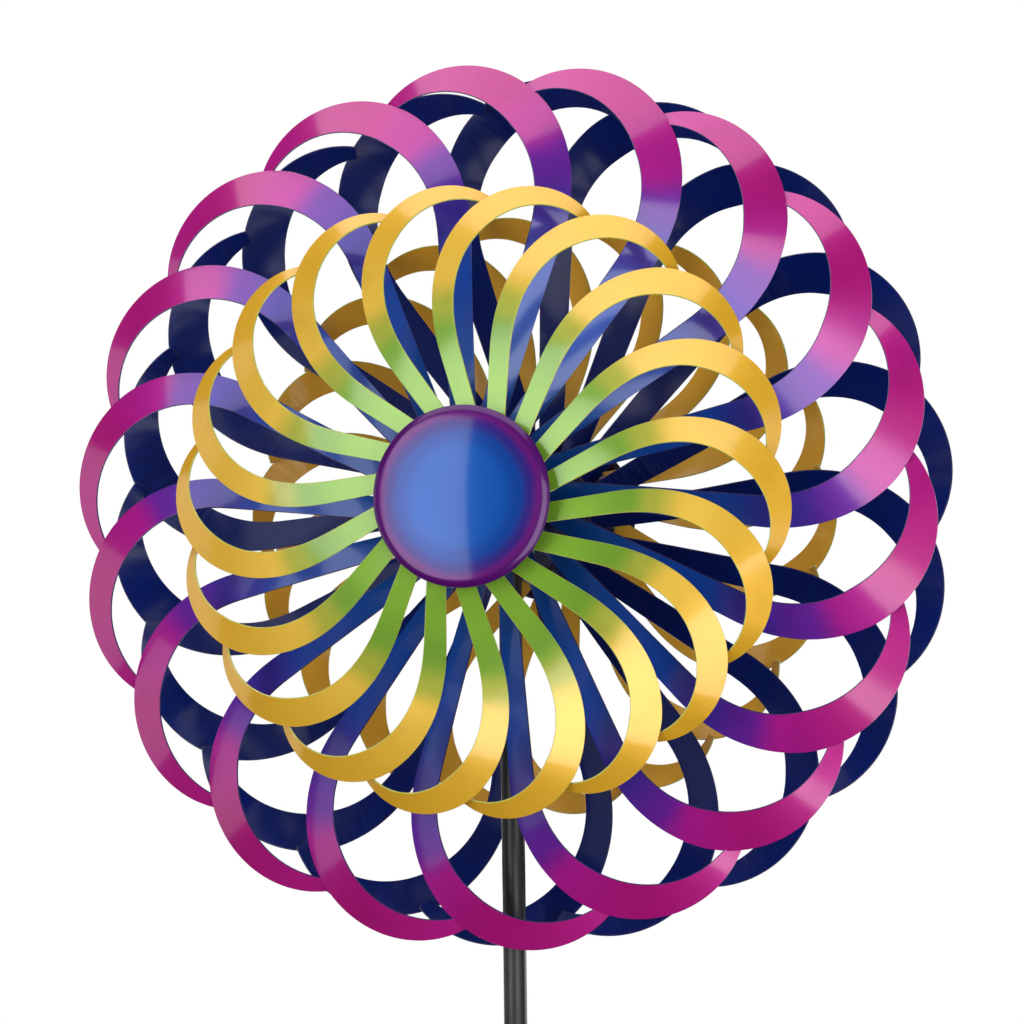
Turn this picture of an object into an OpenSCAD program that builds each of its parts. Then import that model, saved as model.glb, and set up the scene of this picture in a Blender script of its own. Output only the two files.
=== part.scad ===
// Garden wind sculpture: two domed wheels of hooked sheet-metal blades that spin on one fixed
// axle, at the top of a sectional pole on a ground fork.
// Z is up, the front wheel faces -Y, the ground is at z = 0 and the pole's axis is x = y = 0.

/* [Blade rings] */
// Blades in each ring
blade_count = 18; // [18]
// Thickness of the blade sheet
sheet_t = 1.2; // [0.8:0.1:1.4]
// Turn of the front wheel's small blades
front_small_turn = 1; // [0:0.5:19]
// Turn of the front wheel's large blades
front_large_turn = 9; // [0:0.5:19]
// Turn of the rear wheel's small blades
rear_small_turn = 6.5; // [0:0.5:19]
// Turn of the rear wheel's large blades
rear_large_turn = 9; // [0:0.5:19]

/* [Small blades] */
// Length of a small blade along its middle line
small_length = 240; // [236:1:244]
// Width at the root
small_root_w = 13; // [11:0.5:13.5]
// Width at the widest place
small_wide_w = 22.5; // [19:0.5:24]
// Width at the tip
small_tip_w = 8; // [6.5:0.5:9]
// Angle that the root leans back from the radius
small_lean = 26; // [22:1:28]
// Angle that the hook turns through
small_sweep = 159; // [154:1:162]
// Distance of the root from the middle of the pole
small_depth = 110; // [109.5:0.5:112]
// How far the tip is swept back towards the pole
small_dish = 30; // [26:1:32]

/* [Large blades] */
// Length of a large blade along its middle line
large_length = 354; // [350:1:358]
// Width at the root
large_root_w = 19; // [16:0.5:20]
// Width at the widest place
large_wide_w = 32; // [28:0.5:34]
// Width at the tip
large_tip_w = 9.5; // [8:0.5:11]
// Angle that the root leans back from the radius
large_lean = 16; // [12:1:18]
// Angle that the hook turns through
large_sweep = 151.5; // [146:0.5:155]
// Distance of the root from the middle of the pole
large_depth = 62.5; // [61:0.5:64]
// How far the tip is swept back towards the pole
large_dish = 28; // [25:1:31]

/* [Hub] */
// Diameter over the rolled rim of a cap
cap_d = 122; // [116:1:126]
// Height of the cap's dome above its rim
cap_rise = 7; // [5:0.5:9]
// Outside diameter of the hub barrel
barrel_d = 28; // [27:0.5:30]
// Diameter of the disc that the small blades are riveted to
disc_d = 100; // [98:1:104]

/* [Pole] */
// Height of the axle above the ground
axle_h = 1360; // [1300:5:1400]
// Outside diameter of the pole tubes
pole_d = 16; // [15:0.5:17]
// Wall of the pole tubes
pole_wall = 1.2; // [1:0.1:1.5]

/* [Ground fork] */
// Depth of the middle prong's tip below the ground
fork_depth = 240; // [210:5:260]
// Depth of the side prongs' tips below the ground
side_depth = 190; // [160:5:210]
// Distance between the side prongs
fork_w = 130; // [110:5:150]

/* [Hidden] */
$fn = 48;
gap = 0.1;                      // clearance between plain fitted tubes
run_gap = 0.05;                 // radial clearance of the running surfaces

// Bearing, nut and axle sizes: 608 bearings and M8 nuts
axle_d = 8;
race_w = 7;
inner_race_d = 12;
outer_race_d = 22;
outer_race_wall = 1.5;
ball_d = (outer_race_d - inner_race_d) / 2 - outer_race_wall - 2 * run_gap;
ball_count = 7;
nut_af = 13;
nut_h = 6.5;
lock_nut_h = 8;
washer_d = 16;
washer_t = 1.6;
stud_d = 4;
rivet_d = 3.2;

// Distances from the middle of the pole, along the axle
head_flat = 10;
disc_y = [106, 108];
barrel_y = [52, disc_y[1]];
drum_y = [53, 72];
web_y = [61, 63];
inner_bearing_y = barrel_y[0];
outer_bearing_y = barrel_y[1] - race_w;
spacer_y = head_flat + washer_t + nut_h;
axle_end_y = barrel_y[1] + washer_t + lock_nut_h + 1;

// Where the small blades are riveted, measured along them from the root, and the radius that the
// cap's studs stand at
rivet_along = 6;
stud_r = 28;

// Cap: the middle of its rolled rim, and the sphere of its dome
cap_y = 122.5;
rim_r = 3;
cap_t = 1;
rim_c = cap_d / 2 - rim_r;
dome_edge = rim_c - 2;
dome_r = (dome_edge * dome_edge + cap_rise * cap_rise) / (2 * cap_rise);
dome_c = cap_y + rim_r + cap_rise - dome_r;
function dome_inside(r) = dome_c + sqrt(pow(dome_r - cap_t, 2) - r * r);

// Pole joints, from the ground up
socket_d = 22;
socket_h = 120;
socket_floor = 6;
joint_1_z = 460;
joint_2_z = 900;
pole_top_z = axle_h - 14;
coupler_l = 110;
coupler_d = pole_d - 2 * pole_wall - 2 * gap;
head_bottom_z = axle_h - 44;
head_top_z = axle_h + 20;
side_prong_d = 9;
middle_prong_d = 12;
spigot_d = 9;
bend_r = 22;
screw_d = 4;

// ---- Placing ----

// A solid of revolution drawn in the XY plane, with x the radius and y the distance from the
// pole along the front half of the axle
module along_axle() {
  translate([0, 0, axle_h]) rotate([90, 0, 0]) rotate_extrude() children();
}

// A part of the front wheel, drawn about an axle on the Y axis
module front() {
  translate([0, 0, axle_h]) children();
}

// The same part turned to face the other way, on the rear wheel
module rear() {
  rotate([0, 0, 180]) children();
}

// A part and its twin on the other half of the axle
module both_ends() {
  children();
  rear() children();
}

// Copies spaced evenly round the front half of the axle, at a radius
module round_axle(count, radius, turn = 0) {
  for (i = [0 : count - 1])
    front() rotate([0, -turn - i * 360 / count, 0]) translate([radius, 0, 0]) children();
}

// A round bar along the front half of the axle, between two distances from the pole
module bar(y0, y1, d) {
  translate([0, -y0, 0]) rotate([90, 0, 0]) cylinder(h = y1 - y0, d = d);
}

// ---- Blades ----

// A blade is a strip: a straight stem that leans back from the radius, then a hook that turns
// ever tighter. Its numbers, in order:
// length, root width, widest width, tip width, lean, sweep, stem (part of the length that is
// straight), tightening of the hook, root depth, dish, dish power, root bank, tip bank,
// root twist, curve of the widening
small_blade = [small_length, small_root_w, small_wide_w, small_tip_w, small_lean, small_sweep,
  0.227, 1.5, small_depth, small_dish, 1.5, 6, 49, 0, 1.5];
large_blade = [large_length, large_root_w, large_wide_w, large_tip_w, large_lean, large_sweep,
  0.405, 1.2, large_depth, large_dish, 1.6, 30, 36, 22, 2];
root_r = 42;
widest_at = 0.66;
twist_end = 0.22;
small_rings = 21;
large_rings = 25;

// Direction of the strip in the wheel's plane, 0 being straight out along the radius
function heading(b, t) =
  -b[4] + b[5] * pow(max(0, (t - b[6]) / (1 - b[6])), b[7]);

// Width of the strip
function strip_width(b, t) = t < widest_at
  ? b[1] + (b[2] - b[1]) * pow(t / widest_at, b[14])
  : b[3] + (b[2] - b[3]) * cos(90 * (t - widest_at) / (1 - widest_at));

// Distance from the pole
function strip_depth(b, t) = b[8] - b[9] * pow(t, b[10]);

// How far the strip's outer edge is turned back towards the pole
function bank(b, t) =
  b[11] + (b[12] - b[11]) * pow(t, 1.3) + b[13] * pow(max(0, 1 - t / twist_end), 2);

// Middle line in the wheel's plane, walked from the root in equal steps
function middle_line(b, rings) = let (step = b[0] / (rings - 1))
  [for (i = 0, p = [root_r, 0]; i < rings; i = i + 1,
        h = heading(b, (i - 0.5) / (rings - 1)), p = p + step * [cos(h), sin(h)]) p];

// Four corners of the strip at one ring, for a hook that curls anticlockwise seen from the front
function corners(b, p, t) = let (
    h = heading(b, t),
    k = bank(b, t),
    rise = b[9] * b[10] * pow(max(t, 0.001), b[10] - 1) / b[0],
    along = [cos(h), rise, sin(h)],
    across = [sin(h) * cos(k), sin(k), -cos(h) * cos(k)],
    through = cross(along, across),
    out = across * strip_width(b, t) / 2,
    thick = through / norm(through) * sheet_t / 2,
    middle = [p[0], -strip_depth(b, t), p[1]]
  ) [middle + out - thick, middle - out - thick, middle - out + thick, middle + out + thick];

// One blade. curl is 1 for anticlockwise and -1 for clockwise, seen from the front
module blade(b, rings, curl) {
  line = middle_line(b, rings);
  points = [for (i = [0 : rings - 1]) for (c = corners(b, line[i], i / (rings - 1)))
    [c[0], c[1], curl * c[2]]];
  sides = [for (i = [0 : rings - 2]) for (j = [0 : 3]) let (
      a = 4 * i + j,
      n = 4 * i + (j + 1) % 4
    ) each [[a, n, n + 4], [a, n + 4, a + 4]]];
  last = 4 * (rings - 1);
  ends = [[0, 3, 2], [0, 2, 1], [last, last + 1, last + 2], [last, last + 2, last + 3]];
  faces = concat(sides, ends);
  polyhedron(points, curl > 0 ? faces : [for (f = faces) [f[2], f[1], f[0]]]);
}

// A ring of blades round the axle
module blade_ring(b, rings, curl, turn) {
  round_axle(blade_count, 0, turn) blade(b, rings, curl);
}

module small_blades(turn) color("goldenrod") blade_ring(small_blade, small_rings, -1, turn);
module large_blades(turn) color("mediumvioletred") blade_ring(large_blade, large_rings, 1, turn);

// ---- Wheel parts, drawn for the front wheel ----

// Tube that carries the discs and holds a bearing in each end
module hub_barrel() color("navy") along_axle() {
  pocket_r = outer_race_d / 2;
  polygon([
    [pocket_r, barrel_y[0]], [barrel_d / 2, barrel_y[0]],
    [barrel_d / 2, barrel_y[1]], [pocket_r, barrel_y[1]],
    [pocket_r, outer_bearing_y], [pocket_r - 1.5, outer_bearing_y],
    [pocket_r - 1.5, inner_bearing_y + race_w], [pocket_r, inner_bearing_y + race_w]
  ]);
}

module race(y, r_in, r_out) along_axle() translate([r_in, y]) square([r_out - r_in, race_w]);

module outer_races() color("silver") {
  r = outer_race_d / 2;
  race(inner_bearing_y, r - outer_race_wall, r);
  race(outer_bearing_y, r - outer_race_wall, r);
}

module inner_races() color("silver") {
  race(inner_bearing_y, axle_d / 2, inner_race_d / 2);
  race(outer_bearing_y, axle_d / 2, inner_race_d / 2);
}

// Balls in the middle of each bearing, running on the inner race
module bearing_balls() color("lightgray") {
  for (y = [inner_bearing_y, outer_bearing_y])
    round_axle(ball_count, (inner_race_d + ball_d) / 2 + run_gap)
      translate([0, -y - race_w / 2, 0]) sphere(d = ball_d);
}

// Thin shields pressed into the outer races
module bearing_shields() color("gray") {
  shield_t = 0.4;
  for (y = [inner_bearing_y, outer_bearing_y])
    for (side = [0.2, race_w - 0.2 - shield_t])
      along_axle() translate([inner_race_d / 2 + 0.3, y + side])
        square([outer_race_d / 2 - outer_race_wall - inner_race_d / 2 - 0.3, shield_t]);
}

// Drum on a web: the large blades are welded round its rim
module large_drum() color("midnightblue") along_axle() {
  drum_r = root_r - 0.3;
  wall = 2;
  translate([drum_r - wall, drum_y[0]]) square([wall, drum_y[1] - drum_y[0]]);
  translate([barrel_d / 2, web_y[0]]) square([drum_r - 1 - barrel_d / 2, web_y[1] - web_y[0]]);
}

// Where a small blade's rivet is in the wheel's plane, for a blade with no turn
rivet_spot = [root_r, 0] + rivet_along * [cos(small_lean), -sin(small_lean)];
rivet_r = norm(rivet_spot);
rivet_angle = -atan2(rivet_spot[1], rivet_spot[0]);

// Disc behind the small blades' roots, drilled for the rivets and the cap's studs
module small_disc(turn) color("midnightblue") difference() {
  along_axle() translate([barrel_d / 2, disc_y[0]])
    square([(disc_d - barrel_d) / 2, disc_y[1] - disc_y[0]]);
  round_axle(blade_count, rivet_r, turn + rivet_angle)
    bar(disc_y[0] - 1, disc_y[1] + 1, rivet_d);
  round_axle(3, stud_r, 30) bar(disc_y[0] - 1, disc_y[1] + 1, stud_d + 2 * gap);
}

// Rivets through the small blades' roots and the disc
module small_rivets(turn) color("gainsboro") {
  head_d = 6;
  head_h = 1.2;
  face = strip_depth(small_blade, rivet_along / small_length) + sheet_t / 2 + 0.3;
  round_axle(blade_count, rivet_r, turn + rivet_angle) {
    bar(disc_y[0] - head_h, face + head_h, rivet_d);
    bar(disc_y[0] - head_h, disc_y[0], head_d);
    bar(face, face + head_h, head_d);
  }
}

// Spun cap: a shallow dome that turns down into a rolled rim
module cap() color("royalblue") along_axle() {
  difference() {
    intersection() {
      translate([0, dome_c]) circle(r = dome_r);
      translate([0, cap_y]) square([dome_edge + 1, rim_r + cap_rise + 1]);
    }
    translate([0, dome_c]) circle(r = dome_r - cap_t);
  }
  translate([rim_c, cap_y]) difference() {
    circle(r = rim_r);
    circle(r = rim_r - cap_t);
  }
}

// Studs welded inside the cap, with a sleeve in front of the disc and a nut behind it
module cap_studs() color("gainsboro")
  round_axle(3, stud_r, 30) bar(disc_y[0] - 5, dome_inside(stud_r + stud_d / 2) - 0.02, stud_d);

module cap_sleeves() color("gray") round_axle(3, stud_r, 30) difference() {
  end_y = dome_inside(stud_r + 4) - gap;
  bar(disc_y[1], end_y, 8);
  bar(disc_y[1] - 1, end_y + 1, stud_d + 2 * gap);
}

module cap_nuts() color("gainsboro") {
  nut_t = 3.2;
  round_axle(3, stud_r, 30) difference() {
    translate([0, nut_t - disc_y[0], 0]) rotate([90, 0, 0])
      cylinder(h = nut_t, d = 7 / cos(30), $fn = 6);
    bar(disc_y[0] - nut_t - 1, disc_y[0] + 1, stud_d);
  }
}

// ---- Axle and head ----

// Threaded rod through the head, carrying both wheels
module axle_rod() color("silver") both_ends() front() bar(0, axle_end_y, axle_d);

// Plain tube on the axle between two distances from the pole
module sleeve(y0, y1, d) front() difference() {
  bar(y0, y1, d);
  bar(y0 - 1, y1 + 1, axle_d);
}

module hex_nut(y, h) front() difference() {
  translate([0, -y, 0]) rotate([90, 0, 0]) cylinder(h = h, d = nut_af / cos(30), $fn = 6);
  bar(y - 1, y + h + 1, axle_d);
}

module head_washers() color("silver") both_ends()
  sleeve(head_flat, head_flat + washer_t, washer_d);
module head_nuts() color("silver") both_ends() hex_nut(head_flat + washer_t, nut_h);
module axle_spacer() color("black") sleeve(spacer_y, inner_bearing_y, inner_race_d);
module race_spacer() color("gray")
  sleeve(inner_bearing_y + race_w, outer_bearing_y, inner_race_d - 1);
module end_washers() color("silver") both_ends()
  sleeve(barrel_y[1], barrel_y[1] + washer_t, washer_d);
module end_lock_nuts() color("silver") both_ends() hex_nut(barrel_y[1] + washer_t, lock_nut_h);

// Head: a sleeve over the pole's top, with a cross bore for the axle between two flats
module axle_head() color("black") difference() {
  intersection() {
    translate([0, 0, head_bottom_z]) cylinder(h = head_top_z - head_bottom_z, d = socket_d);
    union() {
      translate([-socket_d, -socket_d, head_bottom_z])
        cube([2 * socket_d, 2 * socket_d, pole_top_z - head_bottom_z]);
      translate([-socket_d, -head_flat, pole_top_z - 1])
        cube([2 * socket_d, 2 * head_flat, head_top_z - pole_top_z + 2]);
    }
  }
  translate([0, 0, head_bottom_z - 1])
    cylinder(h = pole_top_z - head_bottom_z + 1, d = pole_d + 2 * gap);
  both_ends() front() bar(-1, socket_d, axle_d);
  cross_bar(head_bottom_z + 14, 0, socket_d, 5);
}

// ---- Pole ----

// A round bar along +X at a height, between two distances from the pole's axis
module cross_bar(z, x0, x1, d) translate([x0, 0, z]) rotate([0, 90, 0]) cylinder(h = x1 - x0, d = d);

// Hex-headed screw that presses on the pole through a wall, from +X
module clamp_screw(z, d, af, reach, head) color("gray") {
  cross_bar(z, pole_d / 2, reach, d);
  translate([reach, 0, z]) rotate([0, 90, 0]) cylinder(h = head, d = af / cos(30), $fn = 6);
}

module head_screw() clamp_screw(head_bottom_z + 14, 5, 8, 13, 3.5);
module socket_screw() clamp_screw(socket_h - 30, 6, 10, 16, 4);

// Heights of the screws on each side of the pole's two joints
joint_screw_z = [for (z = [joint_1_z, joint_2_z]) for (side = [-30, 30]) z + side];

module pole_section(z0, z1) color("black") difference() {
  translate([0, 0, z0]) cylinder(h = z1 - z0, d = pole_d);
  translate([0, 0, z0 - 1]) cylinder(h = z1 - z0 + 2, d = pole_d - 2 * pole_wall);
  for (z = joint_screw_z) cross_bar(z, 0, pole_d, screw_d);
}

module lower_pole() pole_section(socket_floor, joint_1_z);
module middle_pole() pole_section(joint_1_z, joint_2_z);
module upper_pole() pole_section(joint_2_z, pole_top_z);

// Tube inside a joint, drilled for its two screws
module coupler(z) color("dimgray") difference() {
  translate([0, 0, z - coupler_l / 2]) cylinder(h = coupler_l, d = coupler_d);
  translate([0, 0, z - coupler_l / 2 - 1]) cylinder(h = coupler_l + 2, d = coupler_d - 3);
  for (side = [-30, 30]) cross_bar(z + side, 0, pole_d, screw_d);
}

module lower_coupler() coupler(joint_1_z);
module upper_coupler() coupler(joint_2_z);

// Button-headed screw, drawn along +X from its tip to its domed head
module button_screw(x0, x1) rotate([0, 90, 0]) rotate_extrude() {
  head_r = 4;
  dome_r = 5;
  translate([0, x0]) square([screw_d / 2, x1 - x0 + 0.5]);
  intersection() {
    translate([0, x1 - sqrt(dome_r * dome_r - head_r * head_r)]) circle(r = dome_r);
    translate([0, x1]) square([head_r, dome_r]);
  }
}

// Screws that hold the pole's joints
module pole_screws() color("gray") for (z = joint_screw_z)
  translate([0, 0, z]) button_screw(coupler_d / 2 - 1.5, pole_d / 2 + 0.2);

// ---- Ground fork ----

// Tube for the pole, with a bored floor that the middle prong's spigot is welded into. The bore is
// opened out at the ground to take the weld
module ground_fork_socket() color("black") difference() {
  weld_groove = 1.5;
  cylinder(h = socket_h, d = socket_d);
  translate([0, 0, socket_floor]) cylinder(h = socket_h, d = pole_d + 2 * gap);
  translate([0, 0, -1]) cylinder(h = socket_floor + 2, d = spigot_d);
  translate([0, 0, -weld_groove]) cylinder(h = 2 * weld_groove,
    d1 = 2 * middle_prong_d - spigot_d + 4, d2 = spigot_d);
  cross_bar(socket_h - 30, 0, socket_d, 6);
}

// Pointed round bar, straight down from a height
module prong(z_top, depth, d, point) {
  translate([0, 0, -depth + point]) cylinder(h = z_top + depth - point, d = d);
  translate([0, 0, -depth]) cylinder(h = point, d1 = 2, d2 = d);
}

module middle_prong() color("black") {
  prong(0, fork_depth, middle_prong_d, 30);
  cylinder(h = socket_floor, d = spigot_d);
}

// Bars welded to the socket's sides at the ground, stepped on to drive the fork in, then bent down
module side_prongs() color("black") for (side = [0, 180]) rotate([0, 0, side]) difference() {
  union() {
    cross_bar(side_prong_d / 2, 0, fork_w / 2 - bend_r, side_prong_d);
    translate([fork_w / 2 - bend_r, 0, side_prong_d / 2 - bend_r]) rotate([90, 0, 0])
      rotate_extrude(angle = 90) translate([bend_r, 0]) circle(d = side_prong_d);
    translate([fork_w / 2, 0, 0]) prong(side_prong_d / 2 - bend_r, side_depth, side_prong_d, 25);
  }
  translate([0, 0, -side_prong_d]) cylinder(h = 3 * side_prong_d, d = socket_d);
}

ground_fork_socket();
middle_prong();
side_prongs();
socket_screw();
lower_pole();
middle_pole();
upper_pole();
lower_coupler();
upper_coupler();
pole_screws();
axle_head();
head_screw();
axle_rod();
head_washers();
head_nuts();
axle_spacer();  // front_axle_spacer
rear() axle_spacer();  // rear_axle_spacer
race_spacer();  // front_race_spacer
rear() race_spacer();  // rear_race_spacer
inner_races();  // front_inner_races
rear() inner_races();  // rear_inner_races
end_washers();
end_lock_nuts();
hub_barrel();  // front_hub_barrel
outer_races();  // front_outer_races
bearing_balls();  // front_bearing_balls
bearing_shields();  // front_bearing_shields
large_drum();  // front_large_drum
large_blades(front_large_turn);  // front_large_blades
small_disc(front_small_turn);  // front_small_disc
small_blades(front_small_turn);  // front_small_blades
small_rivets(front_small_turn);  // front_small_rivets
cap();  // front_cap
cap_studs();  // front_cap_studs
cap_sleeves();  // front_cap_sleeves
cap_nuts();  // front_cap_nuts
rear() hub_barrel();  // rear_hub_barrel
rear() outer_races();  // rear_outer_races
rear() bearing_balls();  // rear_bearing_balls
rear() bearing_shields();  // rear_bearing_shields
rear() large_drum();  // rear_large_drum
rear() large_blades(rear_large_turn);  // rear_large_blades
rear() small_disc(rear_small_turn);  // rear_small_disc
rear() small_blades(rear_small_turn);  // rear_small_blades
rear() small_rivets(rear_small_turn);  // rear_small_rivets
rear() cap();  // rear_cap
rear() cap_studs();  // rear_cap_studs
rear() cap_sleeves();  // rear_cap_sleeves
rear() cap_nuts();  // rear_cap_nuts
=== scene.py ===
# A garden wind sculpture: two domed wheels of hooked, airbrushed blades that spin on one axle, at
# the top of a black pole with a ground fork. Built in the order in which it is put together.
import math

import bmesh
import bpy
from mathutils import Matrix, Quaternion, Vector


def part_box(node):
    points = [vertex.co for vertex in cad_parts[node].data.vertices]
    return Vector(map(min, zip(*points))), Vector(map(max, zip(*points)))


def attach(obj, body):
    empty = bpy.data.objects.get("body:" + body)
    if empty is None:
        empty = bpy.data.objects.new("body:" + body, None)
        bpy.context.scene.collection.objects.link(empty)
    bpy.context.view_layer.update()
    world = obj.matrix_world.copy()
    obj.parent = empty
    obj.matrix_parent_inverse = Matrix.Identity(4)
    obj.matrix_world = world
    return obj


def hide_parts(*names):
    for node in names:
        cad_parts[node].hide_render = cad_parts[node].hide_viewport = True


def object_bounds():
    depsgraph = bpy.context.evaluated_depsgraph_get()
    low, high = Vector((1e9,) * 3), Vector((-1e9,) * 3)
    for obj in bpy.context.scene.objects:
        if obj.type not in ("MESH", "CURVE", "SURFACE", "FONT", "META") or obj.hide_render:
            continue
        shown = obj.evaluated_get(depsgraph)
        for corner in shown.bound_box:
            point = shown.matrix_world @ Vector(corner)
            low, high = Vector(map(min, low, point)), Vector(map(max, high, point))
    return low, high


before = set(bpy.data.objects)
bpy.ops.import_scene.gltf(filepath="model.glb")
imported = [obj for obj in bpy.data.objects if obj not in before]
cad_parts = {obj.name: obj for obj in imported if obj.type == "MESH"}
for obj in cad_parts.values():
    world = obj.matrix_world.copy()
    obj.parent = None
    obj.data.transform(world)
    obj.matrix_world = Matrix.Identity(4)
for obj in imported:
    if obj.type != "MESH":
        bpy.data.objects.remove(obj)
cad_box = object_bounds()

# ---- Camera ----
# A long lens a little to the right of the front wheel and just below its axle, looking slightly
# up. It is aimed a touch to the right of and below the middle of the wheels, and is not quite
# level.
axle_low, axle_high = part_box("axle_rod")
wheel_middle = (axle_low + axle_high) / 2
camera_turn = math.radians(15.1)
camera_rise = math.radians(-3.67)
camera_distance = 2.757
camera_roll = math.radians(0.72)
aim_right, aim_down = 0.0019, 0.0035
camera_lens = 139.8
sensor_width = 36

away = Vector((
    math.sin(camera_turn) * math.cos(camera_rise),
    -math.cos(camera_turn) * math.cos(camera_rise),
    math.sin(camera_rise),
))
sideways = Vector((math.cos(camera_turn), math.sin(camera_turn), 0))
aim = wheel_middle + sideways * aim_right - Vector((0, 0, aim_down))
camera = bpy.data.objects.new("camera", bpy.data.cameras.new("camera"))
camera.data.sensor_width = sensor_width
camera.data.lens = camera_lens
camera.data.clip_end = 60
camera.location = aim + away * camera_distance
camera.rotation_mode = "QUATERNION"
camera.rotation_quaternion = (
    (-away).to_track_quat("-Z", "Y") @ Quaternion((0, 0, 1), -camera_roll))
bpy.context.scene.collection.objects.link(camera)
bpy.context.scene.camera = camera

# ---- Ground fork and pole ----
# Steel tube and bar, bent and welded, then powder coated in satin black. The coat has the faint
# orange peel of baked powder, and rubs a little shinier and greyer where it is handled.


def colour(red, green, blue):
    """A shader colour from the 0 to 255 values of a paint chart."""
    parts = [c / 255 for c in (red, green, blue)]
    return (*[c / 12.92 if c < 0.04045 else ((c + 0.055) / 1.055) ** 2.4 for c in parts], 1)


def feed(tree, node, inputs):
    """Sets a node's inputs: a socket is joined to the input and a value is set on it."""
    for name, value in inputs.items():
        if isinstance(value, bpy.types.NodeSocket):
            tree.links.new(value, node.inputs[name])
        else:
            node.inputs[name].default_value = value


def add(tree, kind, inputs, **settings):
    """A new shader node with its settings and inputs."""
    node = tree.nodes.new("ShaderNode" + kind)
    for name, value in settings.items():
        setattr(node, name, value)
    feed(tree, node, inputs)
    return node


def new_finish(name, **inputs):
    """A new material with the given values on its surface shader, and its node tree."""
    material = bpy.data.materials.new(name)
    material.use_nodes = True
    tree = material.node_tree
    shader = tree.nodes["Principled BSDF"]
    feed(tree, shader, {key.replace("_", " "): value for key, value in inputs.items()})
    return material, tree, shader


def stretched(tree, source, scale, move=(0, 0, 0)):
    """Object or UV coordinates, scaled and moved for a pattern."""
    places = add(tree, "TexCoord", {})
    mapping = add(tree, "Mapping", {
        "Vector": places.outputs[source], "Location": move, "Scale": scale})
    return mapping.outputs["Vector"]


def noise(tree, vector, scale, detail=2.0, rough=0.5):
    """Soft noise from 0 to 1."""
    node = add(tree, "TexNoise", {
        "Vector": vector, "Scale": scale, "Detail": detail, "Roughness": rough})
    return node.outputs["Fac"]


def ranged(tree, value, low, high, to_low, to_high):
    """A value's range from low to high, changed to another range."""
    node = add(tree, "MapRange", {
        "Value": value, "From Min": low, "From Max": high, "To Min": to_low, "To Max": to_high})
    return node.outputs["Result"]


def blended(tree, share, first, second, kind="MIX"):
    """Two colours blended by a share."""
    node = add(tree, "Mix", {}, data_type="RGBA", blend_type=kind)
    for index, value in ((0, share), (6, first), (7, second)):
        if isinstance(value, bpy.types.NodeSocket):
            tree.links.new(value, node.inputs[index])
        else:
            node.inputs[index].default_value = value
    return node.outputs[2]


def bumped(tree, height, distance, strength=1.0, under=None):
    """A bump of a height in metres, over another bump if there is one."""
    inputs = {"Height": height, "Distance": distance, "Strength": strength}
    if under:
        inputs["Normal"] = under
    return add(tree, "Bump", inputs).outputs["Normal"]


def make_powder_coat():
    finish, tree, shader = new_finish("black_powder_coat", Metallic=0.0, IOR=1.5)
    place = stretched(tree, "Object", (1, 1, 1))
    peel = noise(tree, place, 700, 2)
    handling = noise(tree, stretched(tree, "Object", (1, 1, 0.35)), 22, 5, 0.6)
    rubbed = ranged(tree, handling, 0.45, 0.75, 0, 1)
    tone = blended(tree, rubbed, colour(30, 30, 31), colour(47, 47, 49))
    grit = ranged(tree, noise(tree, place, 2400, 1), 0.3, 0.7, 0.92, 1.08)
    feed(tree, shader, {
        "Base Color": blended(tree, 1.0, tone, add(tree, "CombineColor", {
            "Red": grit, "Green": grit, "Blue": grit}).outputs["Color"], "MULTIPLY"),
        "Roughness": ranged(tree, rubbed, 0, 1, 0.42, 0.30),
        "Normal": bumped(tree, peel, 0.00012, 0.6),
    })
    return finish


def finish_nodes(finish, *names):
    """Gives CAD nodes a finish in every material slot."""
    for name in names:
        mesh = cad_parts[name].data
        mesh.materials.clear()
        mesh.materials.append(finish)


def finish_piece(bm, name, finishes, body, slot, *nodes):
    """Makes a bmesh into a piece that rides on a body and stands for any CAD nodes named."""
    mesh = bpy.data.meshes.new(name)
    bm.to_mesh(mesh)
    bm.free()
    for finish in finishes:
        mesh.materials.append(finish)
    piece = bpy.data.objects.new(name, mesh)
    bpy.context.scene.collection.objects.link(piece)
    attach(piece, body)
    if nodes:
        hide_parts(*nodes)
    return piece


def shade_smooth(bm, sharpest):
    """Smooth shading, broken at edges that turn by more than an angle in degrees."""
    for face in bm.faces:
        face.smooth = True
    for edge in bm.edges:
        edge.smooth = edge.calc_face_angle(0) < math.radians(sharpest)


def ease_edges(node, finish, body, slot, width, segments=2):
    """Stands for a CAD node with a merged copy of it whose sharp edges are rounded."""
    finish_nodes(finish, node)
    bm = bmesh.new()
    bm.from_mesh(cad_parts[node].data)
    bmesh.ops.remove_doubles(bm, verts=bm.verts, dist=0.000005)
    bmesh.ops.dissolve_limit(
        bm, angle_limit=math.radians(0.5), verts=bm.verts, edges=bm.edges)
    bmesh.ops.recalc_face_normals(bm, faces=bm.faces)
    sharp = [e for e in bm.edges if e.calc_face_angle(0) > math.radians(35)]
    bmesh.ops.bevel(
        bm, geom=sharp, offset=width, offset_type="OFFSET", segments=segments, profile=0.5,
        affect="EDGES", clamp_overlap=True, material=-1)
    shade_smooth(bm, 40)
    finish_piece(bm, node + "_eased", (finish,), body, slot, node)


powder_coat = make_powder_coat()
finish_nodes(powder_coat, "lower_coupler", "upper_coupler")
for node, width in (
        ("ground_fork_socket", 0.0006), ("middle_prong", 0.0005), ("side_prongs", 0.0004),
        ("lower_pole", 0.0003), ("middle_pole", 0.0003), ("upper_pole", 0.0003),
        ("axle_head", 0.0006), ("front_axle_spacer", 0.0003), ("rear_axle_spacer", 0.0003)):
    ease_edges(node, powder_coat, "stand", "black_powder", width)

# ---- Screws, nuts, washers and axle ----
# Bought steel fasteners with bright zinc plating: faintly blue, with drawn and turned marks
# round them and a dull bloom here and there.


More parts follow.
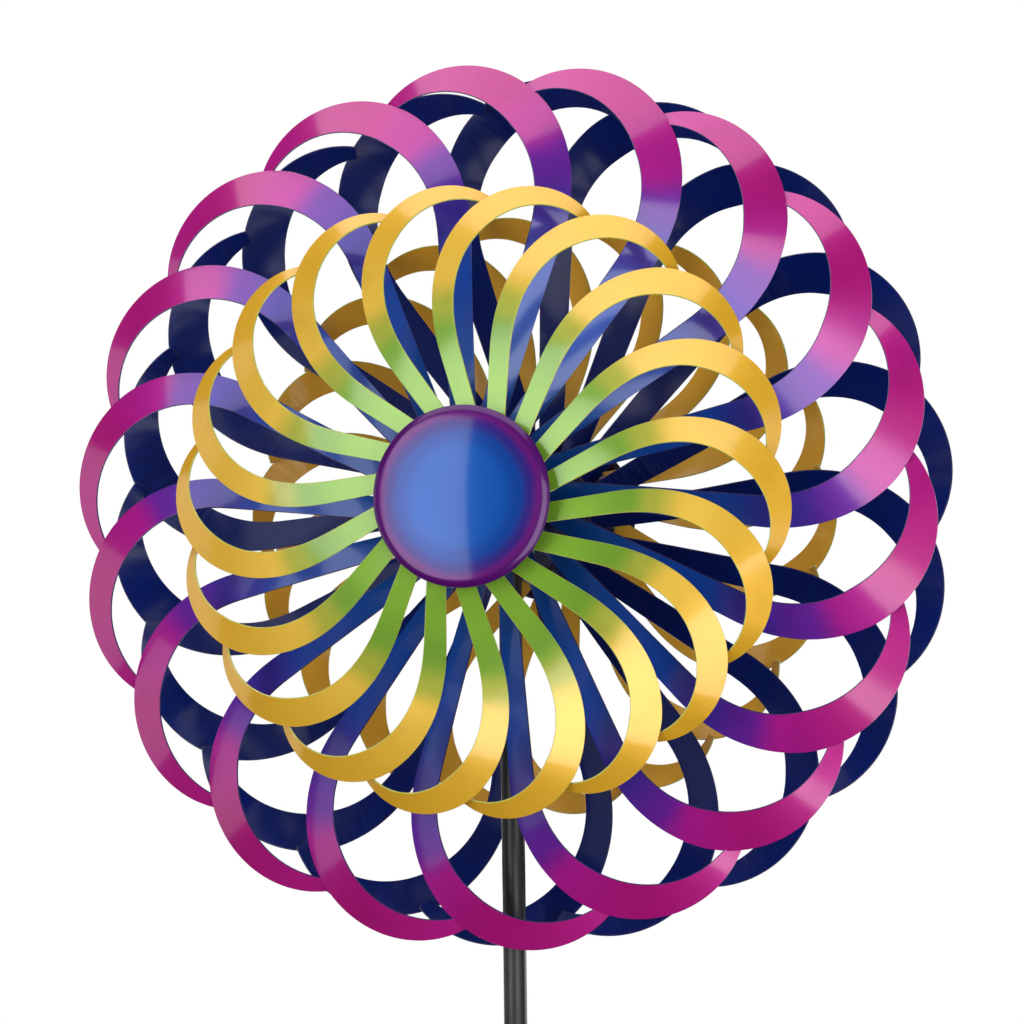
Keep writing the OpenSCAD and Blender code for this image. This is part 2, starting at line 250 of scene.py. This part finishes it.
def make_zinc():
    finish, tree, shader = new_finish("zinc_plate", Metallic=1.0)
    place = stretched(tree, "Object", (1, 1, 1))
    bloom = noise(tree, place, 140, 4, 0.6)
    marks = noise(tree, stretched(tree, "Object", (1, 9, 1)), 260, 3)
    feed(tree, shader, {
        "Base Color": blended(
            tree, ranged(tree, bloom, 0.4, 0.7, 0, 1), colour(196, 200, 208),
            colour(158, 160, 160)),
        "Roughness": ranged(tree, bloom, 0.3, 0.7, 0.24, 0.42),
        "Normal": bumped(tree, marks, 0.00003, 0.5),
    })
    return finish


def make_threaded_rod(finish):
    """M8 threaded rod: a core with a rolled thread round it that stops short of its ends."""
    length, start = axle_high.y - axle_low.y, axle_low.y
    chamfer = 0.0008
    crest, root, pitch, steps_in_turn = 0.00396, 0.0034, 0.00125, 24
    bm = bmesh.new()
    core = bmesh.ops.create_cone(
        bm, cap_ends=True, segments=48, radius1=root + 0.0001, radius2=root + 0.0001,
        depth=length)
    bmesh.ops.rotate(
        bm, verts=core["verts"], cent=(0, 0, 0), matrix=Matrix.Rotation(math.pi / 2, 3, "X"))
    bmesh.ops.translate(bm, verts=core["verts"], vec=wheel_middle)
    core_parts = set(bm.verts[:] + bm.edges[:] + bm.faces[:])
    turns = int((length - 2 * chamfer) / pitch) - 1
    flank = [bm.verts.new((radius, start + chamfer + pitch * share, wheel_middle.z))
             for radius, share in ((root, 0), (crest, 0.45), (crest, 0.55), (root, 1))]
    edges = [bm.edges.new(pair) for pair in zip(flank, flank[1:])]
    bmesh.ops.spin(
        bm, geom=flank + edges, cent=wheel_middle, axis=(0, 1, 0), angle=2 * math.pi,
        dvec=(0, pitch / steps_in_turn, 0), steps=steps_in_turn)
    thread = [part for part in bm.verts[:] + bm.edges[:] + bm.faces[:]
              if part not in core_parts]
    bmesh.ops.spin(
        bm, geom=thread, cent=wheel_middle, axis=(0, 1, 0), angle=0,
        dvec=(0, pitch, 0), steps=turns - 1, use_duplicate=True)
    bmesh.ops.remove_doubles(bm, verts=bm.verts, dist=0.00001)
    shade_smooth(bm, 30)
    finish_piece(bm, "axle_rod_threaded", (finish,), "stand", "zinc_plate", "axle_rod")


zinc = make_zinc()
finish_nodes(zinc, "front_race_spacer", "rear_race_spacer", "axle_rod")
make_threaded_rod(zinc)
for node, width in (
        ("socket_screw", 0.0004), ("pole_screws", 0.0002), ("head_screw", 0.0004),
        ("head_washers", 0.0003), ("head_nuts", 0.0005), ("end_washers", 0.0003),
        ("end_lock_nuts", 0.0006)):
    ease_edges(node, zinc, "stand", "zinc_plate", width)
for side in ("front", "rear"):
    for piece, width in (("_cap_studs", 0.0003), ("_cap_sleeves", 0.0003), ("_cap_nuts", 0.0003)):
        ease_edges(side + piece, zinc, side + "_wheel", "zinc_plate", width)
    ease_edges(side + "_small_rivets", zinc, side + "_wheel", "zinc_plate", 0.0009, 4)

# ---- Bearings ----
# Two ball bearings in each hub: ground and polished steel rings and balls, with pressed shields.


def make_bearing_steel():
    finish, tree, shader = new_finish("bearing_steel", Metallic=1.0)
    place = stretched(tree, "Object", (1, 1, 1))
    grinding = noise(tree, stretched(tree, "Object", (1, 14, 1)), 500, 2)
    film = noise(tree, place, 90, 3)
    feed(tree, shader, {
        "Base Color": blended(tree, film, colour(190, 190, 192), colour(214, 214, 218)),
        "Roughness": ranged(tree, film, 0.3, 0.7, 0.12, 0.24),
        "Normal": bumped(tree, grinding, 0.00001, 0.4),
    })
    return finish


bearing_steel = make_bearing_steel()
finish_nodes(
    bearing_steel, "front_inner_races", "rear_inner_races", "front_outer_races",
    "rear_outer_races", "front_bearing_balls", "rear_bearing_balls",
    "front_bearing_shields", "rear_bearing_shields")

# ---- Hub barrels, drums and discs ----
# Turned and pressed steel, sprayed navy under a clear coat together with the backs of the large
# blades. The spray is thinner and drier in soft patches here and there.


def make_hub_paint():
    finish, tree, shader = new_finish(
        "navy_hub_paint", Metallic=0.1, Coat_Weight=0.8, Coat_Roughness=0.12)
    place = stretched(tree, "Object", (1, 1, 1))
    cloud = noise(tree, place, 30, 4)
    peel = noise(tree, place, 600, 2)
    feed(tree, shader, {
        "Base Color": blended(tree, cloud, colour(6, 14, 52), colour(12, 24, 74)),
        "Roughness": ranged(tree, cloud, 0.3, 0.7, 0.34, 0.5),
        "Normal": bumped(tree, peel, 0.00005, 0.5),
    })
    return finish


hub_paint = make_hub_paint()
for side in ("front", "rear"):
    for piece, width in (("_hub_barrel", 0.0004), ("_large_drum", 0.0005), ("_small_disc", 0.0004)):
        ease_edges(side + piece, hub_paint, side + "_wheel", "hub_paint", width)

# ---- Blades ----
# Strips of sheet steel, cut tapered, rolled into hooks and twisted, 18 to a ring. The faces are
# airbrushed along their length and clear coated, the backs are one plain colour, and the cut
# edges carry paler patches, a painted highlight for the thin bright line along them.
blades_in_ring = 18
blade_sheet = 0.0012
root_radius = 0.042
widest_at = 0.66
twist_end = 0.22
rows_along = 110
rows_across = 8
edge_round = 0.0003

small_blade = dict(
    length=0.240, root_width=0.013, wide_width=0.0225, tip_width=0.008, lean=26, sweep=159,
    stem=0.227, tighten=1.5, depth=0.110, dish=0.030, dish_power=1.5, root_bank=6, tip_bank=49,
    root_twist=0, widen_power=1.5, curl=-1)
large_blade = dict(
    length=0.354, root_width=0.019, wide_width=0.032, tip_width=0.0095, lean=16, sweep=151.5,
    stem=0.405, tighten=1.2, depth=0.0625, dish=0.028, dish_power=1.6, root_bank=30, tip_bank=36,
    root_twist=22, widen_power=2, curl=1)


def heading(blade, t):
    """Direction of the strip in the wheel's plane, 0 being straight out from the axle."""
    hook = max(0, (t - blade["stem"]) / (1 - blade["stem"]))
    return math.radians(blade["sweep"] * hook ** blade["tighten"] - blade["lean"])


def strip_width(blade, t):
    """Width of the strip: it widens slowly to two thirds of its length, then tapers to the tip."""
    if t < widest_at:
        grown = (t / widest_at) ** blade["widen_power"]
        return blade["root_width"] + (blade["wide_width"] - blade["root_width"]) * grown
    left = math.cos(math.pi / 2 * (t - widest_at) / (1 - widest_at))
    return blade["tip_width"] + (blade["wide_width"] - blade["tip_width"]) * left


def bank(blade, t):
    """How far the strip's outer edge is turned back towards the pole."""
    twist = blade["root_twist"] * max(0, 1 - t / twist_end) ** 2
    spread = blade["tip_bank"] - blade["root_bank"]
    return math.radians(blade["root_bank"] + spread * t ** 1.3 + twist)


def across_strip(blade, t):
    """Direction across the strip, from its inner edge to its outer one."""
    h, k = heading(blade, t), bank(blade, t)
    return Vector((math.sin(h) * math.cos(k), math.sin(k), -math.cos(h) * math.cos(k)))


def middle_line(blade, steps):
    """Points of the strip's middle line in the wheel's plane, walked from the root."""
    points = [Vector((root_radius, 0))]
    for step in range(steps):
        h = heading(blade, (step + 0.5) / steps)
        points.append(points[-1] + Vector((math.cos(h), math.sin(h))) * blade["length"] / steps)
    return points


def bend_strip(bm, blade):
    """Bends a flat grid, x from -1 at the root to 1 at the tip and y from -1 to 1, into a blade."""
    line = middle_line(blade, rows_along)
    for vertex in bm.verts:
        t = (vertex.co.x + 1) / 2
        middle = line[round(t * rows_along)]
        depth = blade["depth"] - blade["dish"] * t ** blade["dish_power"]
        place = Vector((middle.x, -depth, middle.y))
        place += across_strip(blade, t) * strip_width(blade, t) / 2 * vertex.co.y
        place.z *= blade["curl"]
        vertex.co = place


def make_blade(bm, blade):
    """One blade: front faces are material 0, back faces 1 and the cut edges 2."""
    bmesh.ops.create_grid(bm, x_segments=rows_along, y_segments=rows_across, size=1)
    uv = bm.loops.layers.uv.new("along_and_across")
    for face in bm.faces:
        for corner in face.loops:
            corner[uv].uv = ((corner.vert.co.x + 1) / 2, (corner.vert.co.y + 1) / 2)
    bend_strip(bm, blade)
    bm.normal_update()
    if sum(face.normal.y for face in bm.faces) > 0:
        bmesh.ops.reverse_faces(bm, faces=bm.faces)
        bm.normal_update()
    for vertex in bm.verts:
        vertex.co += vertex.normal * blade_sheet / 2
    face_side = set(bm.verts)
    bmesh.ops.solidify(bm, geom=bm.faces[:], thickness=blade_sheet)
    for face in bm.faces:
        on_face = sum(vertex in face_side for vertex in face.verts)
        face.material_index = 0 if on_face == len(face.verts) else 1 if on_face == 0 else 2
    rims = [e for e in bm.edges if len({f.material_index == 2 for f in e.link_faces}) == 2]
    bmesh.ops.bevel(
        bm, geom=rims, offset=edge_round, offset_type="OFFSET", segments=1, profile=0.5,
        affect="EDGES", material=2)
    for face in bm.faces:
        face.smooth = True
    for edge in bm.edges:
        edge.smooth = edge.calc_face_angle(0) < math.radians(20)


def rear_side(bm):
    """Turns a front wheel's piece half round the pole, onto the rear wheel."""
    bmesh.ops.rotate(bm, verts=bm.verts, cent=(0, 0, 0), matrix=Matrix.Rotation(math.pi, 3, "Z"))


def repeat_round_axle(bm, side, turn):
    """Turns a front wheel's shape about the axle, and repeats it for every blade of a ring."""
    bmesh.ops.rotate(
        bm, verts=bm.verts, cent=(0, 0, 0), matrix=Matrix.Rotation(-math.radians(turn), 3, "Y"))
    bmesh.ops.translate(bm, verts=bm.verts, vec=wheel_middle)
    others = blades_in_ring - 1
    bmesh.ops.spin(
        bm, geom=bm.verts[:] + bm.edges[:] + bm.faces[:], cent=wheel_middle, axis=(0, 1, 0),
        angle=2 * math.pi * others / blades_in_ring, steps=others, use_duplicate=True)
    if side == "rear":
        rear_side(bm)


def blade_ring(side, size, blade, turn, finishes, slot):
    """A ring of blades about the axle, turned so that it meets its CAD node."""
    bm = bmesh.new()
    make_blade(bm, blade)
    repeat_round_axle(bm, side, turn)
    node = f"{side}_{size}_blades"
    finish_piece(bm, node + "_airbrushed", finishes, side + "_wheel", slot, node)


def weld_roots(side, blade, turn, finish):
    """Rows of overlapping beads that weld the blades' roots to the drum, under the paint."""
    bead_radius, beads, weld_radius, bead_reach = 0.0014, 11, 0.0421, 0.46
    bead_row = across_strip(blade, 0) * blade["root_width"] * bead_reach
    bm = bmesh.new()
    for bead in range(beads):
        share = 2 * bead / (beads - 1) - 1
        spot = Vector((root_radius, 0, 0)) + bead_row * share
        out = Vector((spot.x, 0, spot.z)).normalized() * weld_radius
        place = Vector((out.x, spot.y - blade["depth"], out.z))
        bmesh.ops.create_icosphere(
            bm, subdivisions=2, radius=bead_radius, matrix=Matrix.Translation(place))
    for face in bm.faces:
        face.smooth = True
    repeat_round_axle(bm, side, turn)
    finish_piece(bm, side + "_blade_welds", (finish,), side + "_wheel", "hub_paint")


def shaded_along(tree, value, stops):
    """Colours that follow a value, from stops in order of their places."""
    node = add(tree, "ValToRGB", {"Fac": value})
    node.color_ramp.interpolation = "EASE"
    elements = node.color_ramp.elements
    for place, _ in stops[1:-1]:
        elements.new(place)
    for element, (place, shade) in zip(elements, stops):
        element.position = place
        element.color = shade
    return node.outputs["Color"]


def make_airbrushed(name, stops, depth_of_shade):
    """Airbrushed paint under a clear coat. Stops are the colours along the blade."""
    finish, tree, shader = new_finish(
        name, Metallic=0.3, Specular_IOR_Level=0.35, Coat_Weight=1.0, Coat_Roughness=0.13,
        Coat_IOR=1.52)
    uv = add(tree, "TexCoord", {}).outputs["UV"]
    along = add(tree, "SeparateXYZ", {"Vector": uv}).outputs["X"]
    place = stretched(tree, "Object", (1, 1, 1))
    drift = ranged(tree, noise(tree, place, 9, 2), 0.3, 0.7, -0.025, 0.025)
    sprayed = add(tree, "Math", {0: along, 1: drift}, operation="ADD").outputs["Value"]
    grain = noise(tree, stretched(tree, "UV", (260, 9, 1)), 1.0, 3, 0.6)
    flake = noise(tree, place, 3200, 1)
    cloud = noise(tree, place, 40, 4, 0.6)
    grained = blended(
        tree, ranged(tree, grain, 0.35, 0.75, 0, depth_of_shade),
        shaded_along(tree, sprayed, stops), colour(255, 255, 255), "SOFT_LIGHT")
    clouded = blended(
        tree, ranged(tree, cloud, 0.5, 0.8, 0, depth_of_shade), grained, colour(0, 0, 0))
    peel = noise(tree, place, 420, 2)
    waves = noise(tree, stretched(tree, "UV", (26, 1.6, 1)), 1.0, 2)
    feed(tree, shader, {
        "Base Color": clouded,
        "Roughness": ranged(tree, flake, 0.3, 0.7, 0.30, 0.42),
        "Normal": bumped(tree, waves, 0.0004, 0.35, bumped(tree, peel, 0.00003, 0.5)),
    })
    return finish


def make_plain_back(name, shade, deep, dent, gloss):
    """Plain sprayed paint on the back of a blade, with the dents and ripples of hand bending."""
    finish, tree, shader = new_finish(
        name, Metallic=0.0, Specular_IOR_Level=0.12, Coat_Weight=gloss, Coat_Roughness=0.12)
    place = stretched(tree, "Object", (1, 1, 1))
    cloud = noise(tree, place, 28, 4, 0.6)
    ripples = noise(tree, stretched(tree, "UV", (62, 1.1, 1)), 1.0, 3, 0.55)
    worked = ranged(tree, noise(tree, place, 14, 2), 0.45, 0.65, 0, 1)
    peel = noise(tree, place, 500, 2)
    height = add(tree, "Math", {0: ripples, 1: worked}, operation="MULTIPLY").outputs["Value"]
    feed(tree, shader, {
        "Base Color": blended(tree, cloud, shade, deep),
        "Roughness": ranged(tree, cloud, 0.3, 0.7, 0.34, 0.5),
        "Normal": bumped(tree, height, dent, 0.6, bumped(tree, peel, 0.00004, 0.5)),
    })
    return finish


def make_cut_edge(name, shade, highlight_shade):
    """Sheared edge of the sheet, with paler patches painted on as a highlight and the shear's marks
    as a bump.
    """
    finish, tree, shader = new_finish(name, Metallic=0.1, Coat_Weight=0.4, Coat_Roughness=0.2)
    place = stretched(tree, "Object", (1, 1, 1))
    # Paler patches painted on the edge as a highlight.
    highlight_patches = noise(tree, place, 160, 4, 0.7)
    feed(tree, shader, {
        "Base Color": blended(
            tree, ranged(tree, highlight_patches, 0.5, 0.8, 0, 1), shade, highlight_shade),
        "Roughness": ranged(tree, highlight_patches, 0.3, 0.7, 0.35, 0.5),
        "Normal": bumped(tree, noise(tree, place, 900, 2), 0.00005, 0.6),
    })
    return finish


green_to_gold = [
    (0.0, colour(114, 160, 42)), (0.16, colour(116, 160, 40)), (0.29, colour(106, 148, 40)),
    (0.37, colour(158, 162, 54)), (0.46, colour(228, 184, 66)), (0.75, colour(228, 174, 46)),
    (1.0, colour(230, 172, 38))]
blue_to_magenta = [
    (0.0, colour(0, 76, 160)), (0.34, colour(2, 62, 162)), (0.45, colour(58, 40, 156)),
    (0.55, colour(100, 30, 152)), (0.62, colour(172, 20, 138)), (0.75, colour(172, 14, 118)),
    (1.0, colour(182, 24, 132))]
gold_face = make_airbrushed("green_to_gold_airbrush", green_to_gold, 0.12)
magenta_face = make_airbrushed("blue_to_magenta_airbrush", blue_to_magenta, 0.15)
ochre_back = make_plain_back(
    "ochre_back", colour(246, 186, 60), colour(224, 162, 48), 0.0006, 0.7)
navy_back = make_plain_back("navy_back", colour(2, 28, 108), colour(1, 17, 74), 0.0045, 0.35)
# The gold blades' cut edges are painted a pale yellow-green with cream patches: a painted
# highlight.
gold_edge = make_cut_edge("gold_cut_edge", colour(164, 168, 66), colour(214, 206, 134))
magenta_edge = make_cut_edge("magenta_cut_edge", colour(26, 20, 78), colour(70, 50, 110))

for side, small_turn, large_turn in (("front", 1, 9), ("rear", 6.5, 9)):
    blade_ring(
        side, "large", large_blade, large_turn, (magenta_face, navy_back, magenta_edge),
        "magenta_paint")
    weld_roots(side, large_blade, large_turn, hub_paint)
    blade_ring(
        side, "small", small_blade, small_turn, (gold_face, ochre_back, gold_edge),
        "gold_paint")

# ---- Caps ----
# Spun steel domes with a sloping band and a rolled edge, airbrushed blue in the middle and purple
# round the band, then clear coated. Three studs welded inside hold each one.
cap_radius = 0.061
roll_radius = 0.0011
band_bulge = 0.0004
cap_wall = 0.001
dome_height = 0.007
cap_steps = 160
dome_inset = 0.0052
roll_drop = 0.0036
dome_steps = 24
band_steps = 8
blue_to_purple = [
    (0.48, colour(0, 74, 158)), (0.68, colour(4, 58, 140)), (0.8, colour(44, 30, 118)),
    (0.89, colour(92, 16, 108)), (0.94, colour(76, 8, 96))]


def make_cap_paint():
    finish, tree, shader = new_finish(
        "blue_to_purple_airbrush", Metallic=0.25, Specular_IOR_Level=0.2, Coat_Weight=0.8,
        Coat_Roughness=0.1, Coat_IOR=1.42)
    middle = stretched(tree, "Object", (1, 0, 1), (0, 0, -wheel_middle.z))
    radius = add(tree, "VectorMath", {0: middle}, operation="LENGTH").outputs["Value"]
    out = ranged(tree, radius, 0, cap_radius, 0, 1)
    cloud = noise(tree, stretched(tree, "Object", (1, 1, 1)), 26, 3)
    drifted = add(tree, "Math", {
        0: out, 1: ranged(tree, cloud, 0.3, 0.7, -0.02, 0.02)}, operation="ADD")
    peel = noise(tree, stretched(tree, "Object", (1, 1, 1)), 420, 2)
    spun = add(tree, "TexNoise", {
        "Scale": 900.0, "W": radius, "Detail": 2.0}, noise_dimensions="1D").outputs["Fac"]
    feed(tree, shader, {
        "Base Color": shaded_along(tree, drifted.outputs["Value"], blue_to_purple),
        "Roughness": ranged(tree, cloud, 0.3, 0.7, 0.3, 0.4),
        "Normal": bumped(tree, spun, 0.00002, 0.5, bumped(tree, peel, 0.00002, 0.5)),
    })
    return finish


def spin_profile(bm, outline, steps):
    """Spins an outline of radius and distance from the pole right round the front axle."""
    points = [bm.verts.new((r, -y, wheel_middle.z)) for r, y in outline]
    edges = [bm.edges.new(pair) for pair in zip(points, points[1:])]
    bmesh.ops.spin(
        bm, geom=points + edges, cent=wheel_middle, axis=(0, 1, 0), angle=2 * math.pi,
        steps=steps, use_merge=True)
    bmesh.ops.remove_doubles(bm, verts=bm.verts, dist=0.00001)
    bmesh.ops.recalc_face_normals(bm, faces=bm.faces)
    for face in bm.faces:
        face.smooth = True
    for edge in bm.edges:
        edge.smooth = edge.calc_face_angle(0) < math.radians(35)


def cap_outline():
    """Section of a cap: over the dome, down a sloping band, round the rolled edge and back."""
    top = -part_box("front_cap")[0].y
    dome_edge, dome_foot = cap_radius - dome_inset, top - dome_height
    curve = (dome_edge ** 2 + dome_height ** 2) / (2 * dome_height)
    radii = [dome_edge * i / dome_steps for i in range(dome_steps + 1)]
    dome = [(r, top - curve + math.sqrt(curve ** 2 - r ** 2)) for r in radii]
    inside = [(r, top - curve + math.sqrt((curve - cap_wall) ** 2 - r ** 2))
              for r in reversed(radii)]
    roll_middle = Vector((cap_radius - roll_radius, dome_foot - roll_drop))
    roll = [roll_middle + Vector((math.sin(a), math.cos(a))) * roll_radius
            for a in [math.radians(45 + 15 * i) for i in range(11)]]
    start, end = Vector((dome_edge, dome_foot)), roll[0]
    bulge = Vector((start.y - end.y, end.x - start.x)).normalized() * band_bulge
    shares = [i / band_steps for i in range(1, band_steps)]
    band = [start.lerp(end, share) + bulge * (1 - (2 * share - 1) ** 2) for share in shares]
    return dome + [tuple(point) for point in band + roll] + inside


cap_paint = make_cap_paint()
for side in ("front", "rear"):
    bm = bmesh.new()
    spin_profile(bm, cap_outline(), cap_steps)
    if side == "rear":
        rear_side(bm)
    finish_piece(bm, side + "_cap_spun", (cap_paint,), side + "_wheel", "cap_paint", side + "_cap")

# ---- Floor and studio light ----
# A plain pale floor just under the prongs, a white surround, large softboxes to the left of the
# camera, low to its right and overhead, dimmer ones at the sides, and a pair behind.
floor_radius = 4.5
floor_gap = 0.004


def make_floor():
    finish, tree, shader = new_finish(
        "pale_floor", Roughness=0.85, Emission_Color=(1, 1, 1, 1), Emission_Strength=0.4)
    speck = noise(tree, stretched(tree, "Object", (1, 1, 1)), 6, 4)
    feed(tree, shader, {
        "Base Color": blended(tree, speck, colour(236, 236, 235), colour(244, 244, 243))})
    bm = bmesh.new()
    bmesh.ops.create_circle(bm, cap_ends=True, radius=floor_radius, segments=96)
    bmesh.ops.translate(bm, verts=bm.verts, vec=(0, 0, cad_box[0].z - floor_gap))
    mesh = bpy.data.meshes.new("floor")
    bm.to_mesh(mesh)
    bm.free()
    mesh.materials.append(finish)
    floor = bpy.data.objects.new("floor", mesh)
    bpy.context.scene.collection.objects.link(floor)
    floor.visible_glossy = False
    floor.visible_diffuse = False


def softbox(name, turn, rise, distance, width, height, brightness):
    """An area light aimed at the wheels. Turn is measured as the camera's is."""
    a, e = math.radians(turn), math.radians(rise)
    back = Vector((math.sin(a) * math.cos(e), -math.cos(a) * math.cos(e), math.sin(e)))
    data = bpy.data.lights.new(name, "AREA")
    data.shape = "RECTANGLE"
    data.size, data.size_y = width, height
    data.energy = brightness * math.pi * width * height
    light = bpy.data.objects.new(name, data)
    light.location = wheel_middle + back * distance
    light.rotation_mode = "QUATERNION"
    light.rotation_quaternion = (-back).to_track_quat("-Z", "Y")
    light.visible_camera = False
    bpy.context.scene.collection.objects.link(light)


def make_surround():
    """White where the camera looks past the object, dim for the rest and dark in the gloss."""
    world = bpy.data.worlds.new("studio")
    world.use_nodes = True
    tree = world.node_tree
    path = add(tree, "LightPath", {})
    unseen = ranged(tree, path.outputs["Is Glossy Ray"], 0, 1, 0.24, 0.01)
    seen = add(tree, "Math", {
        0: unseen, 1: path.outputs["Is Camera Ray"]}, operation="ADD", use_clamp=True)
    feed(tree, tree.nodes["Background"], {
        "Color": (1, 1, 1, 1), "Strength": seen.outputs["Value"]})
    bpy.context.scene.world = world


make_floor()
make_surround()
# Each softbox's turn, rise, distance, width, height and brightness
for name, *setting in (
        ("left", -28, 2, 2.5, 1.45, 2.8, 3.5),
        ("low_right", 41, -15, 1.9, 1.25, 1.9, 3.2),
        ("top", -8, 74, 2.2, 3.2, 2.4, 1.7),
        ("far_left", -95, -6, 2.4, 1.8, 2.0, 0.6),
        ("far_right", 80, -14, 2.2, 0.5, 2.2, 1.2),
        ("back_left", 208, 6, 2.6, 1.5, 2.4, 2.8),
        ("back_right", 148, -8, 2.4, 1.3, 2.0, 2.8)):
    softbox(name + "_softbox", *setting)
bpy.context.scene.view_settings.view_transform = "Standard"
